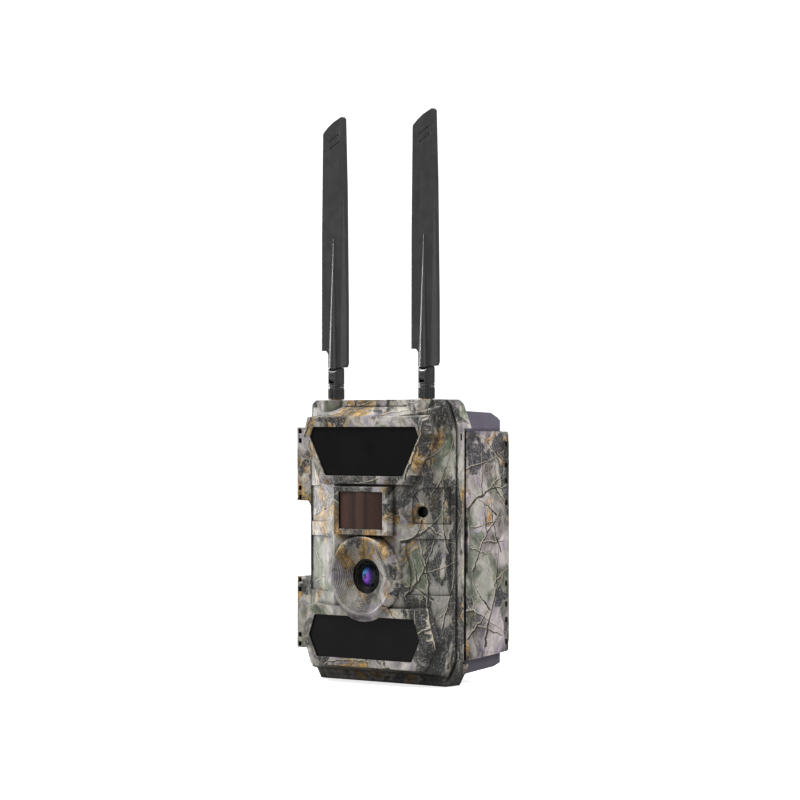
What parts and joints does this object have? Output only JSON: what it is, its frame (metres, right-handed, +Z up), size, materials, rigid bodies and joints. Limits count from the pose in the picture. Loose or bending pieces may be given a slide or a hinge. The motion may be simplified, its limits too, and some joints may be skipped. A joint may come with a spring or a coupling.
{
  "type": "trail camera",
  "caption": "Hinged two-shell trail camera with infrared windows, motion sensor lens, ringed camera lens, side latch, strap bracket and folding paddle antennas.",
  "frame": {"origin": "mouth of the tripod socket on the underside", "axes": "+Z up, front of the camera faces -Y, +X to the viewer's right when facing the front"},
  "size_m": [0.1121, 0.0766, 0.3016],
  "materials": {
    "camo_shell": "camouflage film over satin ABS",
    "housing_plastic": "soft-touch dark plastic",
    "ir_window": "gloss infrared-pass plastic",
    "pir_film": "brown moulded polyethylene lens",
    "glass_clear": "clear glass",
    "lens_glass": "coated optical glass",
    "black_plastic": "black moulded plastic",
    "antenna_plastic": "fine textured black plastic",
    "pcb": "green solder mask",
    "led_body": "smoked epoxy",
    "plated_steel": "nickel plated",
    "brass": "turned brass",
    "gold_plated": "gold plated",
    "seal_rubber": "silicone rubber",
    "cell_label": "printed-free cell sleeve",
    "grey_plastic": "fine spark-eroded plastic",
    "key_rubber": "silicone keycap",
    "card_plastic": "moulded card",
    "sim_plastic": "white card",
    "screen": "display",
    "wire_sleeve": "PVC sleeve"
  },
  "bodies": {
    "housing": {"rear_housing": "housing_plastic", "housing_seal": "seal_rubber", "tripod_insert": "brass", "dc_jack": "black_plastic", "battery_tray": "grey_plastic", "aa_cells": "cell_label", "battery_contacts": "plated_steel", "battery_springs": "plated_steel", "battery_cable": "wire_sleeve", "back_bracket": "camo_shell", "bracket_screws": "plated_steel", "cover_hinge_pins": "plated_steel", "latch_hinge_pins": "plated_steel"},
    "cover": {"front_cover": "camo_shell", "upper_led_window": "ir_window", "lower_led_window": "ir_window", "pir_lens": "pir_film", "lens_window": "glass_clear", "lens_barrel": "black_plastic", "lens_element": "lens_glass", "lens_holder": "black_plastic", "image_sensor_board": "pcb", "upper_led_board": "pcb", "lower_led_board": "pcb", "upper_ir_leds": "led_body", "lower_ir_leds": "led_body", "pir_sensor": "plated_steel", "light_sensor": "black_plastic", "main_board": "pcb", "modem_module": "plated_steel", "sd_slot": "plated_steel", "sim_slot": "plated_steel", "speaker": "black_plastic", "lcd_module": "screen", "lcd_window": "glass_clear", "inner_panel": "grey_plastic", "panel_screws": "plated_steel", "tact_switches": "grey_plastic", "mode_switch": "black_plastic", "antenna_jacks": "gold_plated", "coax_leads": "wire_sleeve"},
    "latch": {"latch_panel": "camo_shell"},
    "ir_filter": {"ir_cut_filter": "plated_steel"},
    "sd": {"sd_card": "card_plastic"},
    "sim": {"sim_card": "sim_plastic"},
    "mode_knob": {"mode_switch_knob": "black_plastic"},
    "ok_key": {"key_ok": "key_rubber"},
    "up_key": {"key_up": "key_rubber"},
    "down_key": {"key_down": "key_rubber"},
    "left_key": {"key_left": "key_rubber"},
    "right_key": {"key_right": "key_rubber"},
    "plug": {"dc_plug": "seal_rubber"},
    "nut_left": {"antenna_nut_left": "antenna_plastic"},
    "nut_right": {"antenna_nut_right": "antenna_plastic"},
    "base_left": {"antenna_base_left": "antenna_plastic", "antenna_pin_left": "plated_steel"},
    "base_right": {"antenna_base_right": "antenna_plastic", "antenna_pin_right": "plated_steel"},
    "blade_left": {"antenna_blade_left": "antenna_plastic"},
    "blade_right": {"antenna_blade_right": "antenna_plastic"}
  },
  "joints": [
    {"name": "cover_hinge", "type": "hinge", "parent": "housing", "child": "cover", "pos_m": [-0.056, -0.02, 0.07], "axis": [0, 0, -1], "range_deg": [0, 105]},
    {"name": "latch_hinge", "type": "hinge", "parent": "housing", "child": "latch", "pos_m": [0.0494, 0.014, 0.07], "axis": [0, 0, 1], "range_deg": [0, 90]},
    {"name": "dc_plug_hinge", "type": "hinge", "parent": "housing", "child": "plug", "pos_m": [-0.026, 0.0052, 0.0011], "axis": [1, 0, 0], "range_deg": [0, 95]},
    {"name": "antenna_nut_left_spin", "type": "hinge", "parent": "cover", "child": "nut_left", "pos_m": [-0.0314, -0.0286, 0.148], "axis": [0, 0, 1], "continuous": true},
    {"name": "antenna_left_swivel", "type": "hinge", "parent": "cover", "child": "base_left", "pos_m": [-0.0314, -0.0286, 0.153], "axis": [0, 0, 1], "continuous": true},
    {"name": "antenna_left_fold", "type": "hinge", "parent": "base_left", "child": "blade_left", "pos_m": [-0.0314, -0.0286, 0.158], "axis": [-1, 0, 0], "range_deg": [0, 90]},
    {"name": "antenna_nut_right_spin", "type": "hinge", "parent": "cover", "child": "nut_right", "pos_m": [0.0314, -0.0286, 0.148], "axis": [0, 0, 1], "continuous": true},
    {"name": "antenna_right_swivel", "type": "hinge", "parent": "cover", "child": "base_right", "pos_m": [0.0314, -0.0286, 0.153], "axis": [0, 0, 1], "continuous": true},
    {"name": "antenna_right_fold", "type": "hinge", "parent": "base_right", "child": "blade_right", "pos_m": [0.0314, -0.0286, 0.158], "axis": [-1, 0, 0], "range_deg": [0, 90]},
    {"name": "key_ok_press", "type": "slide", "parent": "cover", "child": "ok_key", "axis": [0, -1, 0], "range_m": [0, 0.0008]},
    {"name": "key_up_press", "type": "slide", "parent": "cover", "child": "up_key", "axis": [0, -1, 0], "range_m": [0, 0.0008]},
    {"name": "key_down_press", "type": "slide", "parent": "cover", "child": "down_key", "axis": [0, -1, 0], "range_m": [0, 0.0008]},
    {"name": "key_left_press", "type": "slide", "parent": "cover", "child": "left_key", "axis": [0, -1, 0], "range_m": [0, 0.0008]},
    {"name": "key_right_press", "type": "slide", "parent": "cover", "child": "right_key", "axis": [0, -1, 0], "range_m": [0, 0.0008]},
    {"name": "mode_switch_slide", "type": "slide", "parent": "cover", "child": "mode_knob", "axis": [1, 0, 0], "range_m": [0, 0.0068]},
    {"name": "sd_card_slide", "type": "slide", "parent": "cover", "child": "sd", "axis": [0, 0, -1], "range_m": [0, 0.012]},
    {"name": "sim_card_slide", "type": "slide", "parent": "cover", "child": "sim", "axis": [0, 0, -1], "range_m": [0, 0.01]},
    {"name": "ir_filter_shift", "type": "slide", "parent": "cover", "child": "ir_filter", "axis": [1, 0, 0], "range_m": [0, 0.0052]}
  ]
}
